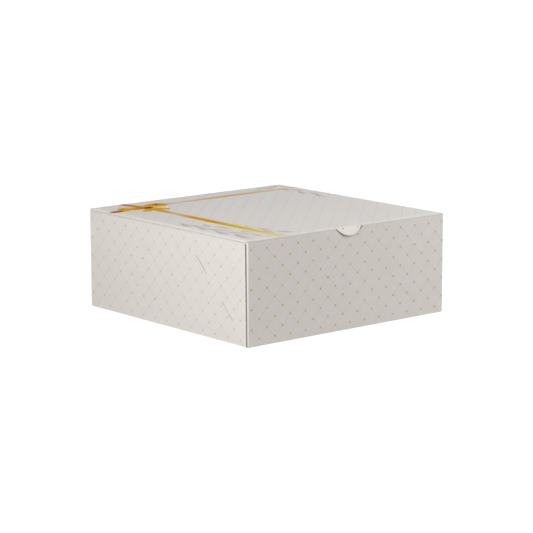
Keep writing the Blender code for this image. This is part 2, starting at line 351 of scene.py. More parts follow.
# %% Creases and places
X_AXIS = Vector((1, 0, 0))
Y_AXIS = Vector((0, 1, 0))
Z_AXIS = Vector((0, 0, 1))
Crease = namedtuple("Crease", "point across half_length radius angle")
Pattern = namedtuple("Pattern", "outline holes creases place first_dot")
FOLD_STEPS_PER_TURN = 64
SUPPORT = 0.3 * MM
WHOLE_LINE = 1.0


def cut_across(mesh, lines):
    """Cuts a flat mesh along straight lines, each a point and the direction across the line."""
    sheet = bmesh.new()
    sheet.from_mesh(mesh)
    for point, across in lines:
        cut = {"plane_co": point, "plane_no": across, "dist": CLEARANCE / 100}
        everything = sheet.verts[:] + sheet.edges[:] + sheet.faces[:]
        bmesh.ops.bisect_plane(sheet, geom=everything, **cut)
    sheet.to_mesh(mesh)
    sheet.free()


def score(mesh, creases):
    """Cuts a flat mesh into narrow strips along its creases, where it is going to bend."""
    lines = []
    for crease in creases:
        arc = crease.radius * crease.angle
        steps = math.ceil(FOLD_STEPS_PER_TURN * crease.angle / math.tau)
        stops = [-SUPPORT, *(arc * step / steps for step in range(steps + 1)), arc + SUPPORT]
        lines += [(crease.point + crease.across * stop, crease.across) for stop in stops]
    cut_across(mesh, lines)


def placed(origin, along, up):
    """The matrix that sets a flat sheet on the box: its first axis, its second and its face."""
    turn = Matrix((along, up, along.cross(up))).transposed().to_4x4()
    return Matrix.Translation(origin) @ turn


def fold(piece, creases, material):
    """One fold modifier for each crease."""
    score(piece.data, creases)
    for crease in creases:
        use_nodes(piece, FOLD, material=material, **crease._asdict())


print("a quarter turn is bent in", FOLD_STEPS_PER_TURN // 4, "strips")

# %% Flat outlines
CORNER_STEPS = 8


def new_piece(name, mesh):
    """An object for a mesh, linked to the scene."""
    piece = bpy.data.objects.new(name, mesh)
    bpy.context.scene.collection.objects.link(piece)
    return piece


def flat_mesh(name, outline, holes=()):
    """A flat face with the outline given, and with the holes that the die punches in it."""
    sheet = bmesh.new()
    for loop in (outline, *holes):
        corners = [sheet.verts.new((u, v, 0)) for u, v in loop]
        for first, last in zip(corners, corners[1:] + corners[:1]):
            sheet.edges.new((first, last))
    fill = {"use_beauty": True, "use_dissolve": False, "normal": (0, 0, 1)}
    bmesh.ops.triangle_fill(sheet, edges=sheet.edges[:], **fill)
    for face in sheet.faces:
        if face.normal.z < 0:
            face.normal_flip()
    mesh = bpy.data.meshes.new(name)
    sheet.to_mesh(mesh)
    sheet.free()
    return mesh


def mirrored(outline):
    """The same outline on the other hand."""
    return [(-u, v) for u, v in reversed(outline)]


def rounded(outline, radii):
    """An outline with its corners rounded, each by its own radius where that isn't zero."""
    points = []
    for index, corner in enumerate(outline):
        here = Vector(corner)
        before = (Vector(outline[index - 1]) - here).normalized()
        after = (Vector(outline[(index + 1) % len(outline)]) - here).normalized()
        radius = radii[index]
        if radius == 0:
            points.append(corner)
            continue
        half_angle = before.angle(after) / 2
        centre = here + (before + after).normalized() * radius / math.sin(half_angle)
        start = here + before * radius / math.tan(half_angle) - centre
        end = here + after * radius / math.tan(half_angle) - centre
        turn = start.angle_signed(end)
        for step in range(CORNER_STEPS + 1):
            points.append(tuple(centre + Matrix.Rotation(-turn * step / CORNER_STEPS, 2) @ start))
    return points


print("a rounded corner has", CORNER_STEPS, "facets")

# %% A sheet of board, thickened and placed
THICKNESS = BOARD - INK
PRINTED_FACE = 0
# The face that gets the painted groove shade.
PAINTED_SHADE_FACE = 3
BOARD_MATERIALS = (COATED, REVERSE, CUT_EDGE, PAINTED_GROOVE_SHADE, REVERSE, CUT_EDGE)
SMOOTH_BELOW = math.radians(30)


def lay_out(mesh, pattern, edge_wear):
    """Stores each point's place on the print layout in millimetres, and how far it is whitened, by
    cracks and as painted highlight.
    """
    mesh.attributes.new("print_mm", "FLOAT_VECTOR", "POINT")
    mesh.attributes.new("wear", "FLOAT", "POINT")
    layout, wear = mesh.attributes["print_mm"], mesh.attributes["wear"]
    first_u, first_v = pattern.first_dot
    for point in mesh.vertices:
        u, v = point.co.xy
        layout.data[point.index].vector = ((u - first_u) / MM, (v - first_v) / MM, 0)
        bent = any(on_arc(point.co, crease) for crease in pattern.creases)
        wear.data[point.index].value = 1.0 if bent else edge_wear(u, v)


def on_arc(point, crease):
    """Whether a point of a flat sheet lies where a crease is going to bend it."""
    offset = point - crease.point
    beyond = offset.dot(crease.across)
    sideways = abs(offset.dot(crease.across.cross(Z_AXIS)))
    inside = CLEARANCE < beyond < crease.radius * crease.angle - CLEARANCE
    return inside and sideways < crease.half_length


def thicken(piece, thickness, inner=1, rim=2):
    """Gives a folded skin the thickness of board, with its reverse and its cut edge."""
    board = piece.modifiers.new("Board", "SOLIDIFY")
    board.thickness = thickness
    board.offset = -1
    board.use_even_offset = True
    board.material_offset = inner
    board.material_offset_rim = rim
    return board


def settle(piece, place):
    """Bakes a piece, sets it in its place on the box and shades its bends smooth."""
    bake(piece)
    piece.data.transform(place)
    piece.data.shade_smooth()
    piece.data.set_sharp_from_angle(angle=SMOOTH_BELOW)


def board_sheet(name, pattern, cut_lines=(), plies=None, dent=None, face=None, worn_and_highlit=None):
    """A whole sheet of board: drawn flat, scored, folded, thickened and set in its place.

    Plies, dent, face and the whitening are functions of a place on the flat sheet. They give the
    share of the board's thickness there, how deep it is pressed in, which face it shows, and how far
    its coating is whitened: cracked off, and partly painted highlight.
    """
    piece = new_piece(name, flat_mesh(name, pattern.outline, pattern.holes))
    cut_across(piece.data, cut_lines)
    score(piece.data, pattern.creases)
    lay_out(piece.data, pattern, worn_and_highlit or (lambda u, v: 0.0))
    points = piece.data.vertices
    shares = [plies(*point.co.xy) if plies else 1.0 for point in points]
    middles = [polygon.center.xy for polygon in piece.data.polygons]
    shown = [face(*middle) if face else PRINTED_FACE for middle in middles]
    for point in points:
        point.co.z = -dent(*point.co.xy) if dent else 0.0
    fold(piece, pattern.creases, COATED)
    bake(piece)
    for material in BOARD_MATERIALS[1:]:
        piece.data.materials.append(material)
    for polygon, covering in zip(piece.data.polygons, shown):
        polygon.material_index = covering
    group = piece.vertex_groups.new(name="plies")
    for index, share in enumerate(shares):
        group.add([index], share, "REPLACE")
    thicken(piece, THICKNESS).vertex_group = group.name
    settle(piece, pattern.place)
    piece.vertex_groups.clear()
    return piece


print(f"ink {INK / MM:.2f} mm, board under it {THICKNESS / MM:.2f} mm")

# %% [markdown]
# ## The carton: walls, glue flaps and base
#
# The front wall and its two glue flaps are one stretch of board. The flaps turn the corners and are
# glued behind the side walls. To get behind them each flap is pressed in a little beside its crease,
# a step that sheet metal workers call a joggle. The side wall stops short of the corner, and its
# front edge slants, so a narrow groove shows there between the two stretches. The board in the
# groove gets a darker colour, which is painted shade for the recess.
#
# Each side wall is another stretch. Its front diagonal fold is weakened by two open cuts, which let
# an empty box be pressed flat. Its back diagonal is only creased, and nothing is drawn for it, since
# a crease in a wall that stands flat hardly shows. The side walls' top edge lies 1 mm below the
# front wall's, so that the rolled edge of the lid can be seen above it.
#
# The solids of the frame are separate panels with gaps at the creases. Here they are replaced by
# the continuous stretches of board that the eye expects, in the same places.

# %% Shapes that the die cuts
SQUARE_FOLD = math.radians(90)
NOTCH_WIDTH = 34.9 * MM
NOTCH_DEPTH = 7.7 * MM
ARC_STEPS = 28


def half_moon(width, depth, level):
    """A half-moon that hangs from a level line, from its left end to its right."""
    radius = (width**2 / 4 + depth**2) / (2 * depth)
    reach = math.asin(width / 2 / radius)
    angles = [reach * (2 * step / ARC_STEPS - 1) for step in range(ARC_STEPS + 1)]
    sill = radius * math.cos(reach)
    return [(radius * math.sin(a), level - radius * math.cos(a) + sill) for a in angles]


print("the thumb notch is", round(NOTCH_WIDTH / MM, 1), "mm wide")

# %% The front wall, with its glue flaps
flap_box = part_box("front_left_glue_flap")
FLAP_LENGTH = flap_box[1].y - FRONT_Y
FLAP_FOOT = 0.5 * MM
FLAP_FOOT_RISE = 1.2 * MM
FLAP_END_LOW = 41 * MM
FLAP_END_HIGH = 77 * MM
FLAP_CORNER = 4 * MM
HEM = ROLL + INK
RELIEF = 2 * MM
HEM_INSET = 0.6 * MM
HEM_CREASE_INSET = 0.4 * MM
JOGGLE_START = 0.7 * MM
JOGGLE_LENGTH = 0.9 * MM
JOGGLE_STEPS = 5
TOP_FADE = 4 * MM
SIDE_SETBACK = 4.1 * MM
GROOVE_SLANT = 1.0 * MM
GROOVE_LIFT = 0.25 * MM
FACE_X = LEFT_X + INK
SUNK_X = flap_box[0].x - GROOVE_LIFT
FRONT_DOT = (LEFT_X + 4.25 * MM, 93.05 * MM)


def end_pattern(edge, radius, top, notch, place):
    """The front or back wall: it rolls under to the base, and round both corners from edge on."""
    flap = edge + radius * SQUARE_FOLD
    end = flap + FLAP_LENGTH - radius
    right_half = [
        (edge - HEM_INSET, HEM - ROLL * SQUARE_FOLD),
        (edge - HEM_INSET, HEM),
        (edge, HEM + INK),
        (flap, FLAP_FOOT),
        (flap + SIDE_SETBACK, FLAP_FOOT + FLAP_FOOT_RISE),
        (end, FLAP_END_LOW),
        (end, FLAP_END_HIGH),
        (flap + SIDE_SETBACK, top),
        (flap, top),
    ]
    right_half = rounded(right_half, [0, 0, 0, 0, 0, FLAP_CORNER, FLAP_CORNER, 0, 0])
    outline = right_half + notch[::-1] + mirrored(right_half)
    hem_crease = Vector((0, HEM, 0))
    creases = [Crease(hem_crease, -Y_AXIS, edge - HEM_CREASE_INSET, ROLL, SQUARE_FOLD)]
    for hand in (1, -1):
        corner = Vector((hand * edge, 0, 0))
        creases.append(Crease(corner, hand * X_AXIS, WHOLE_LINE, radius, SQUARE_FOLD))
    return Pattern(outline, (), creases, place, FRONT_DOT)


FRONT_PLACE = placed((0, FRONT_Y + INK, 0), X_AXIS, Z_AXIS)
notch = half_moon(NOTCH_WIDTH, NOTCH_DEPTH, WALL_TOP)
front_edge = -FACE_X - ROLL
FRONT = end_pattern(front_edge, ROLL, WALL_TOP, notch, FRONT_PLACE)
joggle = front_edge + ROLL * SQUARE_FOLD + JOGGLE_START
under_wall = front_edge + ROLL * SQUARE_FOLD + SIDE_SETBACK - ROLL - INK
VISIBLE_DEPTH = SUNK_X - FACE_X


def eased(value, start, end):
    """A soft step: 0 up to start, 1 from end on."""
    share = min(max((value - start) / (end - start), 0.0), 1.0)
    return (3 - 2 * share) * share**2


def slanted(u, v):
    """How far out a place is, measured from a line that leans out towards the box's foot."""
    return abs(u) + GROOVE_SLANT * (1 - v / WALL_TOP)


def joggle_depth(u, v):
    """How far the glue flap is pressed in, so that it passes behind the side wall.

    At the top it stays out for as long as the side wall leaves it uncovered.
    """
    pressed = eased(slanted(u, v), joggle, joggle + JOGGLE_LENGTH)
    stays_out = eased(v, WALL_TOP - TOP_FADE, WALL_TOP)
    stays_out *= 1 - eased(abs(u), under_wall - JOGGLE_LENGTH, under_wall)
    return VISIBLE_DEPTH * pressed * (1 - stays_out)


def groove_face(u, v):
    """The groove between the corner crease and the side wall gets a darker fibre colour: painted
    shade.
    """
    in_groove = slanted(u, v) > joggle + JOGGLE_LENGTH / 2
    return PAINTED_SHADE_FACE if in_groove and v < WALL_TOP - TOP_FADE / 2 else PRINTED_FACE


share_steps = [step / JOGGLE_STEPS for step in range(JOGGLE_STEPS + 1)]
joggle_lines = [(Vector((0, WALL_TOP - TOP_FADE * share, 0)), Y_AXIS) for share in share_steps]
for hand in (-1, 1):
    across_groove = Vector((WALL_TOP, -hand * GROOVE_SLANT, 0)).normalized()
    for share in share_steps:
        into_groove = Vector((hand * (joggle + JOGGLE_LENGTH * share), WALL_TOP, 0))
        under_side = Vector((hand * (under_wall - JOGGLE_LENGTH * share), WALL_TOP, 0))
        joggle_lines += [(into_groove, across_groove), (under_side, X_AXIS)]

front = board_sheet("front_wall_sheet", FRONT, joggle_lines, dent=joggle_depth, face=groove_face)
print("front sheet", len(front.data.polygons), "faces")

# %% The back wall, with its glue flaps
HINGE_GAP = 0.15 * MM
BACK_PLACE = placed((0, BACK_Y - INK, 0), -X_AXIS, Z_AXIS)
CORNER_ROLL = flap_box[1].x - flap_box[0].x
back_edge = -flap_box[1].x
BACK = end_pattern(back_edge, CORNER_ROLL, BACK_TOP + HINGE_GAP, [], BACK_PLACE)
back = board_sheet("back_wall_sheet", BACK)
print("back sheet", len(back.data.polygons), "faces")

# %% The side walls, with their open cuts
SIDE_FRONT = -FRONT_Y - SIDE_SETBACK
SIDE_BACK = BACK_Y - 0.3 * MM
SIDE_STEP = 1.0 * MM
# Width of the whitened strip at a side wall's front edge: partly fraying, partly painted highlight.
FRAYED_AND_HIGHLIT_STRIP = 0.9 * MM
CUT_STARTS = (32 * MM, 87 * MM)
CUT_LENGTH = 23 * MM
CUT_HALF_WIDTH = 0.26 * MM


def on_diagonal(distance, offset):
    """A point so far up the diagonal fold from the box's bottom corner, and so far above it."""
    share = math.sqrt(0.5)
    return (HALF_WIDTH + (offset - distance) * share, (offset + distance) * share)


def open_cut(low):
    """The long thin hole of one cut, pointed at both ends as a cutting rule leaves it."""
    side = CUT_HALF_WIDTH
    high = low + CUT_LENGTH
    lower = [(low, 0), (low + side, -side), (high - side, -side)]
    upper = [(high, 0), (high - side, side), (low + side, side)]
    return [on_diagonal(*place) for place in lower + upper]


def side_front(v):
    """How far forward a side wall reaches at a height, because its front edge slants."""
    return SIDE_FRONT + GROOVE_SLANT * (1 - v / WALL_TOP)


def side_pattern(hand, place):
    """A side wall, from the cut edge at its front to the one at its back."""
    foot = HEM - ROLL * SQUARE_FOLD
    outline = [
        (hand * SIDE_BACK, foot),
        (hand * SIDE_BACK, WALL_TOP - SIDE_STEP),
        (-hand * SIDE_FRONT, WALL_TOP - SIDE_STEP),
        (-hand * side_front(foot), foot),
    ]
    cuts = [open_cut(low) for low in CUT_STARTS]
    if hand > 0:
        cuts = [mirrored(cut) for cut in cuts]
    crease = Crease(Vector((0, HEM, 0)), -Y_AXIS, WHOLE_LINE, ROLL, SQUARE_FOLD)
    return Pattern(outline, cuts, [crease], place, LEFT_DOT)


def side_sheet(name, hand, pattern):
    """A side wall whose cut front edge is whitened back to the line that is cut in for it: partly
    fraying, partly painted highlight on the lit edge.
    """
    inner = Vector((-hand * (SIDE_FRONT - FRAYED_AND_HIGHLIT_STRIP), WALL_TOP, 0))
    across = Vector((WALL_TOP, hand * GROOVE_SLANT, 0)).normalized()

    def frayed_and_highlit(u, v):
        return float(-hand * u > side_front(v) - CLEARANCE)

    return board_sheet(name, pattern, [(inner, across)], worn_and_highlit=frayed_and_highlit)


LEFT_DOT = (HALF_WIDTH - 21 * MM, 91.4 * MM)
LEFT = side_pattern(-1, placed((LEFT_X + INK, 0, 0), -Y_AXIS, Z_AXIS))
RIGHT = side_pattern(1, placed((HALF_WIDTH - INK, 0, 0), Y_AXIS, Z_AXIS))
left = side_sheet("left_wall_sheet", -1, LEFT)
right = side_sheet("right_wall_sheet", 1, RIGHT)
print("side sheet", len(left.data.polygons), "faces")

# %% The base
base_edge = HALF_WIDTH - INK - ROLL - CLEARANCE
clipped = base_edge - RELIEF
base_half = [(clipped, -base_edge), (base_edge, -clipped), (base_edge, clipped), (clipped, base_edge)]
BASE_PLACE = placed((0, 0, INK), X_AXIS, -Y_AXIS)
BASE = Pattern(base_half + mirrored(base_half), (), (), BASE_PLACE, FRONT_DOT)
base = board_sheet("base_sheet", BASE)
print("base", round(2 * base_edge / MM, 1), "mm square")

# %% [markdown]
# ## The lid and its flaps
#
# On the real lid, panel and flap are one board, and the crease between them stretches the printed
# outer ply over a bead. A box that opens has to be cut in two there, at the crease. So the lid's
# board is skived along these edges down to its outer ply, which is drawn on over the bead as far as
# the flap leaves it uncovered at any angle. The bead beneath belongs to the flap and turns about
# the crease's axis. The joint then hides under the ply, as it should.
#
# Beside the flaps there is no bead to cover. There the lid's edge rolls down by a whole quarter turn
# into a short lip, and a straight apron of 1 mm below the lip closes the gap above the side wall.

# %% The lid panel
FLAP_LEAN = math.radians(6.5)
FLAP_FOLD = SQUARE_FOLD + FLAP_LEAN
FLAP_TRAVEL = math.radians(45)
LAP = FLAP_FOLD - FLAP_TRAVEL
CURL = math.radians(140)
SKIN_ROLL = ROLL - INK
BEAD = SKIN_ROLL - PLY - CLEARANCE
FOLD_X = RIGHT_CREASE.x
FOLD_Y = -TUCK_CREASE.y
LID_EDGE = -flap_box[0].x
TUCK_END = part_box("tuck_flap")[1].x
TAB_GAP = 16.7 * MM
TAB_SETBACK = 0.32 * MM
SLIT = 0.1 * MM
SLIT_END = 0.05 * MM
SIDE_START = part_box("lid_right_flap")[0].y
SIDE_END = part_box("lid_right_flap")[1].y
RECESS = 1.24 * MM
STEP = 0.02 * MM
LIP_REACH = 0.9 * MM
MITRE = 0.02 * MM
APRON = 1.0 * MM
APRON_START = FRONT_Y + 5.8 * MM
APRON_END = BACK_Y - 3.0 * MM
# Width of the band along the lid's creased edges that is whitened as painted highlight.
HIGHLIGHT_BAND = 5 * MM


def lid_outline():
    """The lid as cut: its rolled edges, the slits that part them, and the hinge's curl."""
    lap = SKIN_ROLL * LAP
    lip = SKIN_ROLL * SQUARE_FOLD
    edge = -FOLD_Y
    slit = FOLD_X - SLIT_END
    side_lip = FOLD_X + lip
    apron = side_lip + APRON
    half = [
        (TAB_GAP, edge + TAB_SETBACK), (TAB_GAP, edge - lap),
        (TUCK_END, edge - lap), (TUCK_END, edge + SLIT_END),
        (TUCK_END + SLIT, edge + SLIT_END), (TUCK_END + SLIT, edge - lip),
        (FOLD_X + LIP_REACH, edge - lip), (FOLD_X + LIP_REACH, edge - MITRE),
        (slit, edge - MITRE), (slit, edge + MITRE),
        (side_lip, edge + MITRE), (side_lip, APRON_START),
        (apron, APRON_START), (apron, SIDE_START - SLIT),
        (slit, SIDE_START - SLIT), (slit, SIDE_START),
        (FOLD_X + lap, SIDE_START), (FOLD_X + lap, SIDE_END),
        (slit, SIDE_END), (slit, SIDE_END + SLIT),
        (apron, SIDE_END + SLIT), (apron, APRON_END),
        (side_lip, APRON_END), (side_lip, HINGE.y - SLIT),
        (slit, HINGE.y - SLIT), (slit, HINGE.y - MITRE),
        (LID_EDGE, HINGE.y - MITRE), (LID_EDGE, HINGE.y + SKIN_ROLL * CURL),
    ]
    return half + mirrored(half)


def lid_edge_creases():
    """The rolls along the lid's front and sides: a lap over each bead, a whole lip between them."""
    tuck_reach = TUCK_END + SLIT / 2
    corner_reach = (FOLD_X + 2 * LIP_REACH - tuck_reach) / 2
    corner_middle = tuck_reach + corner_reach
    creases = [Crease(Vector((0, -FOLD_Y, 0)), -Y_AXIS, tuck_reach, SKIN_ROLL, LAP)]
    stops = [-FOLD_Y, SIDE_START - SLIT / 2, SIDE_END + SLIT / 2, HINGE.y - SLIT / 2 - MITRE / 2]
    for hand in (-1, 1):
        front_point = Vector((hand * corner_middle, -FOLD_Y, 0))
        creases.append(Crease(front_point, -Y_AXIS, corner_reach, SKIN_ROLL, SQUARE_FOLD))
        for start, end, angle in zip(stops, stops[1:], (SQUARE_FOLD, LAP, SQUARE_FOLD)):
            side_point = Vector((hand * FOLD_X, (start + end) / 2, 0))
            reach = (end - start) / 2
            creases.append(Crease(side_point, hand * X_AXIS, reach, SKIN_ROLL, angle))
    return creases


hinge_curl = Crease(Vector((0, HINGE.y, 0)), Y_AXIS, WHOLE_LINE, SKIN_ROLL, CURL)
LID_CREASES = lid_edge_creases() + [hinge_curl]
LID_PLACE = placed((0, 0, LID_TOP - INK), X_AXIS, Y_AXIS)
LID_DOT = (LEFT_X + 8.4 * MM, 1.9 * MM - FOLD_Y)


def lid_plies(u, v):
    """The share of the board's thickness that is left: along the flaps only the outer ply."""
    along_tuck = v < RECESS - FOLD_Y and abs(u) < TUCK_END + SLIT / 2
    along_side = abs(u) > FOLD_X - RECESS and SIDE_START - SLIT / 2 < v < SIDE_END + SLIT / 2
    return PLY / THICKNESS if along_tuck or along_side else 1.0


def lid_edge_highlight(u, v):
    """The lid is whitened along its creased edges, fading out further in: painted highlight where the
    rolled edges catch the light.
    """
    from_edge = min(FOLD_X - abs(u), v + FOLD_Y)
    return min(max(1 - from_edge / HIGHLIGHT_BAND, 0.0), 1.0)


def lid_cut_lines():
    """Lines along which the lid's board changes its thickness or how far it is whitened."""
    across_u = [TUCK_END, TUCK_END + SLIT, FOLD_X - RECESS, FOLD_X - RECESS + STEP]
    across_u += [FOLD_X - HIGHLIGHT_BAND]
    along_v = [SIDE_START - SLIT, SIDE_START, SIDE_END, SIDE_END + SLIT]
    along_v += [RECESS - FOLD_Y, RECESS - STEP - FOLD_Y, HIGHLIGHT_BAND - FOLD_Y]
    lines = [(Vector((hand * u, 0, 0)), X_AXIS) for u in across_u for hand in (-1, 1)]
    return lines + [(Vector((0, v, 0)), Y_AXIS) for v in along_v]


LID = Pattern(lid_outline(), (), LID_CREASES, LID_PLACE, LID_DOT)
lid = board_sheet("lid_sheet", LID, lid_cut_lines(), lid_plies, worn_and_highlit=lid_edge_highlight)
print("lid sheet", len(lid.data.polygons), "faces")

# %% The tuck flap and the side flaps
TUCK_DEPTH = 30 * MM
TUCK_TAPER = 7 * MM
TUCK_CORNER = 12 * MM
HOLE_WIDTH = 33.3 * MM
HOLE_DEPTH = 8.7 * MM
SIDE_DEPTH = 25 * MM
SIDE_TAPER = 8 * MM
SIDE_CORNER = 6 * MM
SLOPE_LENGTH = 46.5 * MM
SLOPE_END_DEPTH = 6.4 * MM
BEAD_PLACE = placed((0, 0, TUCK_CREASE.z + BEAD), X_AXIS, Y_AXIS)


def bead_creases(point, across, radius, fold_angle):
    """The two rolls of a bead: back under the lid's outer ply, and forward to the flap.

    The forward roll comes last. A flap that leans in reaches back past the crease, where the
    other roll would catch it.
    """
    return [
        Crease(point, -across, WHOLE_LINE, radius, CURL - fold_angle),
        Crease(point, across, WHOLE_LINE, radius, fold_angle),
    ]


def tuck_pattern():
    """The tuck flap, with the hole that the thumb tab is cut from."""
    tail = BEAD * (CURL - FLAP_FOLD) - FOLD_Y
    level = -FOLD_Y - BEAD * FLAP_FOLD
    foot = TUCK_END - TUCK_TAPER
    corners = [(-TUCK_END, level), (-foot, level - TUCK_DEPTH), (foot, level - TUCK_DEPTH)]
    corners += [(TUCK_END, level), (TUCK_END, tail), (HOLE_WIDTH / 2, tail)]
    outline = rounded(corners, [0, TUCK_CORNER, TUCK_CORNER, 0, 0, 0])
    outline += half_moon(HOLE_WIDTH, HOLE_DEPTH, level)[::-1]
    outline += [(-HOLE_WIDTH / 2, tail), (-TUCK_END, tail)]
    creases = bead_creases(Vector((0, -FOLD_Y, 0)), -Y_AXIS, BEAD, FLAP_FOLD)
    return Pattern(outline, (), creases, BEAD_PLACE, LID_DOT)


def side_flap_pattern(hand):
    """A flap of the lid that slides down inside a side wall, cut back towards the hinge."""
    tail = FOLD_X - BEAD * (CURL - FLAP_FOLD)
    level = FOLD_X + BEAD * FLAP_FOLD
    corners = [
        (tail, SIDE_START),
        (level, SIDE_START),
        (level + SIDE_DEPTH, SIDE_START + SIDE_TAPER),
        (level + SIDE_DEPTH, SIDE_END - SLOPE_LENGTH),
        (level + SLOPE_END_DEPTH, SIDE_END),
        (tail, SIDE_END),
    ]
    outline = rounded(corners, [0, 0, SIDE_CORNER, SIDE_CORNER, 0, 0])
    if hand < 0:
        outline = mirrored(outline)
    creases = bead_creases(Vector((hand * FOLD_X, 0, 0)), hand * X_AXIS, BEAD, FLAP_FOLD)
    return Pattern(outline, (), creases, BEAD_PLACE, LID_DOT)


TUCK = tuck_pattern()
LEFT_FLAP = side_flap_pattern(-1)
RIGHT_FLAP = side_flap_pattern(1)
tuck = board_sheet("tuck_sheet", TUCK)
left_flap = board_sheet("left_flap_sheet", LEFT_FLAP)
right_flap = board_sheet("right_flap_sheet", RIGHT_FLAP)
print("tuck flap", len(tuck.data.polygons), "faces")

# %% The thumb tab
TAB_WIDTH = 32.5 * MM
TAB_LENGTH = 8.3 * MM
TAB_LEAN = math.radians(23)
TAB_FOLD = SQUARE_FOLD - TAB_LEAN
TAB_DOT = (-7.8 * MM, -2.1 * MM - FOLD_Y)
# How far the ends of the tab's bends are whitened, as painted highlight.
TAB_HALF_HIGHLIGHT = 0.5


def tab_pattern():
    """The half-moon tab, which leans out through the notch and is easy to catch with a thumb."""
    tail = SKIN_ROLL * (CURL - TAB_FOLD) - FOLD_Y
    level = -FOLD_Y - SKIN_ROLL * TAB_FOLD
    outline = half_moon(TAB_WIDTH, TAB_LENGTH, level)
    outline += [(TAB_WIDTH / 2, tail), (-TAB_WIDTH / 2, tail)]
    creases = bead_creases(Vector((0, -FOLD_Y, 0)), -Y_AXIS, SKIN_ROLL, TAB_FOLD)
    return Pattern(outline, (), creases, LID_PLACE, TAB_DOT)


def tab_painted_highlight(u, v):
    """Whitens the tab's flat face fully, and the few points at the ends of its bends by half: painted
    highlight for a tab that leans out and up into the light.
    """
    level = -FOLD_Y - SKIN_ROLL * TAB_FOLD
    return 1.0 if v < level - CLEARANCE else TAB_HALF_HIGHLIGHT


TAB = tab_pattern()
tab = board_sheet("tab_sheet", TAB, worn_and_highlit=tab_painted_highlight)
print("tab", len(tab.data.polygons), "faces")

# %% [markdown]
# ## The gold dots
#
# A small gold dot sits on every crossing of the lattice, 944 of them. They repeat, so one
# Geometry Nodes tree prints them all. It lays a square grid turned by 45 degrees over the flat
# sheet, keeps the points that hit the sheet and are clear of its cut edges, and puts a thin disc
# on each. The sheet's own fold modifiers then bend the print with the board.
#
# The front wall's dots look a stronger gold than those of the left side and the lid, where
# the light makes them shine paler. So there are two copies of one gold ink, and the paler one is
# painted sheen. Each sheet names its own. The sheets that are hidden have the ink of the face they
# resemble or are joined to.

# %% A tree that prints the lattice's dots
DOT_RADIUS = 1.1 * MM
DOT_HEIGHT = 0.006 * MM
DOT_SIDES = 12
DOT_SINK = 0.01 * MM
GRID_COUNT = 43
DOWNWARD = (0.0, 0.0, -1.0)


def dots_tree():
    """Prints a disc of ink on each crossing of the lattice that lies well inside the sheet."""
    inputs = {"First dot": "Vector", "Pitch": "Float", "Dot radius": "Float"}
    inputs |= {"Ink height": "Float", "Ink": "Material"}
    tree = group_tree("Printed dots", inputs)
    given = add(tree, "NodeGroupInput").outputs

    spacing = add(tree, MATH, [given["Pitch"], math.sqrt(0.5)], "MULTIPLY")
    size = add(tree, MATH, [spacing, float(GRID_COUNT - 1)], "MULTIPLY")
    grid = add(tree, "GeometryNodeMeshGrid", [size, size, GRID_COUNT, GRID_COUNT])
    turned = {"Translation": given["First dot"], "Rotation": (0.0, 0.0, math.radians(45))}
    lattice = add(tree, "GeometryNodeTransform", {"Geometry": grid} | turned)
    here = add(tree, "GeometryNodeInputPosition")
    above = add(tree, VECTOR, [here, (0.0, 0.0, MM)], "ADD")
    ray = {"Source Position": above, "Ray Direction": DOWNWARD, "Ray Length": 2 * MM}
    hit = add(tree, "GeometryNodeRaycast", {"Target Geometry": given["Geometry"]} | ray)
    sides = add(tree, "GeometryNodeInputMeshEdgeNeighbors")
    whole = {"data_type": "INT", "operation": "EQUAL"}
    at_edge = add(tree, "FunctionNodeCompare", {2: sides, 3: 1}, **whole)
    parts = {"Geometry": given["Geometry"], "Selection": at_edge}
    rim = add(tree, "GeometryNodeSeparateGeometry", parts, domain="EDGE")
    near = add(tree, "GeometryNodeProximity", {"Geometry": rim}, target_element="EDGES")
    to_rim = [near.outputs["Distance"], given["Dot radius"]]
    clear = add(tree, MATH, to_rim, "GREATER_THAN")
    printed = add(tree, MATH, [hit, clear], "MULTIPLY")
    depth = add(tree, MATH, [given["Ink height"], DOT_SINK], "ADD")
    shape = {"Vertices": DOT_SIDES, "Radius": given["Dot radius"], "Depth": depth}
    disc = add(tree, "GeometryNodeMeshCylinder", shape)
    rise = add(tree, MATH, [given["Ink height"], DOT_SINK], "SUBTRACT")
    lift = add(tree, COMBINE, {"Z": add(tree, MATH, [rise, 0.5], "MULTIPLY")})
    raised = add(tree, "GeometryNodeTransform", {"Geometry": disc, "Translation": lift})
    places = {"Points": lattice, "Selection": printed, "Instance": raised}
    dots = add(tree, "GeometryNodeInstanceOnPoints", places)
    return finished(tree, dots, given["Ink"])


DOTS = dots_tree()
print("the dots tree has", len(DOTS.nodes), "nodes")

# %% Gold ink
# Real flakes are far too fine to show. The noise is as coarse as it has to be to tell dots apart.
FLAKE_SIZE = 6 * MM


def gold_ink(name, dark, light):
    """Metallic-look ink: bronze flakes in varnish, a brownish gold that changes a little by dot."""
    material, tree, shader = new_material(name)
    place = add(tree, "ShaderNodeTexCoord").outputs["Object"]
    flakes = add(tree, NOISE, {"Vector": place, "Scale": 1 / FLAKE_SIZE, "Detail": 2})
    tone = add(tree, RAMP, {"Fac": flakes}, stops=[(0.35, dark), (0.65, light)])
    looks = {"Metallic": 0.15, "Roughness": 0.5, "Specular IOR Level": 0.1}
    plug(tree, shader, {"Base Color": tone} | looks)
    return material


# Lit and shaded copies of one gold ink: the paler one is painted sheen for the side walls, the lid and
# its flaps.
GOLD_INK = gold_ink("bronze_gold_printing_ink", "#C8B07A", "#DAC69A")
GOLD_INK_WITH_PAINTED_SHEEN = gold_ink("thinly_printed_bronze_gold_ink", "#D6C59C", "#DFD2B4")
print("made", GOLD_INK.name, "and", GOLD_INK_WITH_PAINTED_SHEEN.name)

# %% The dots of every sheet


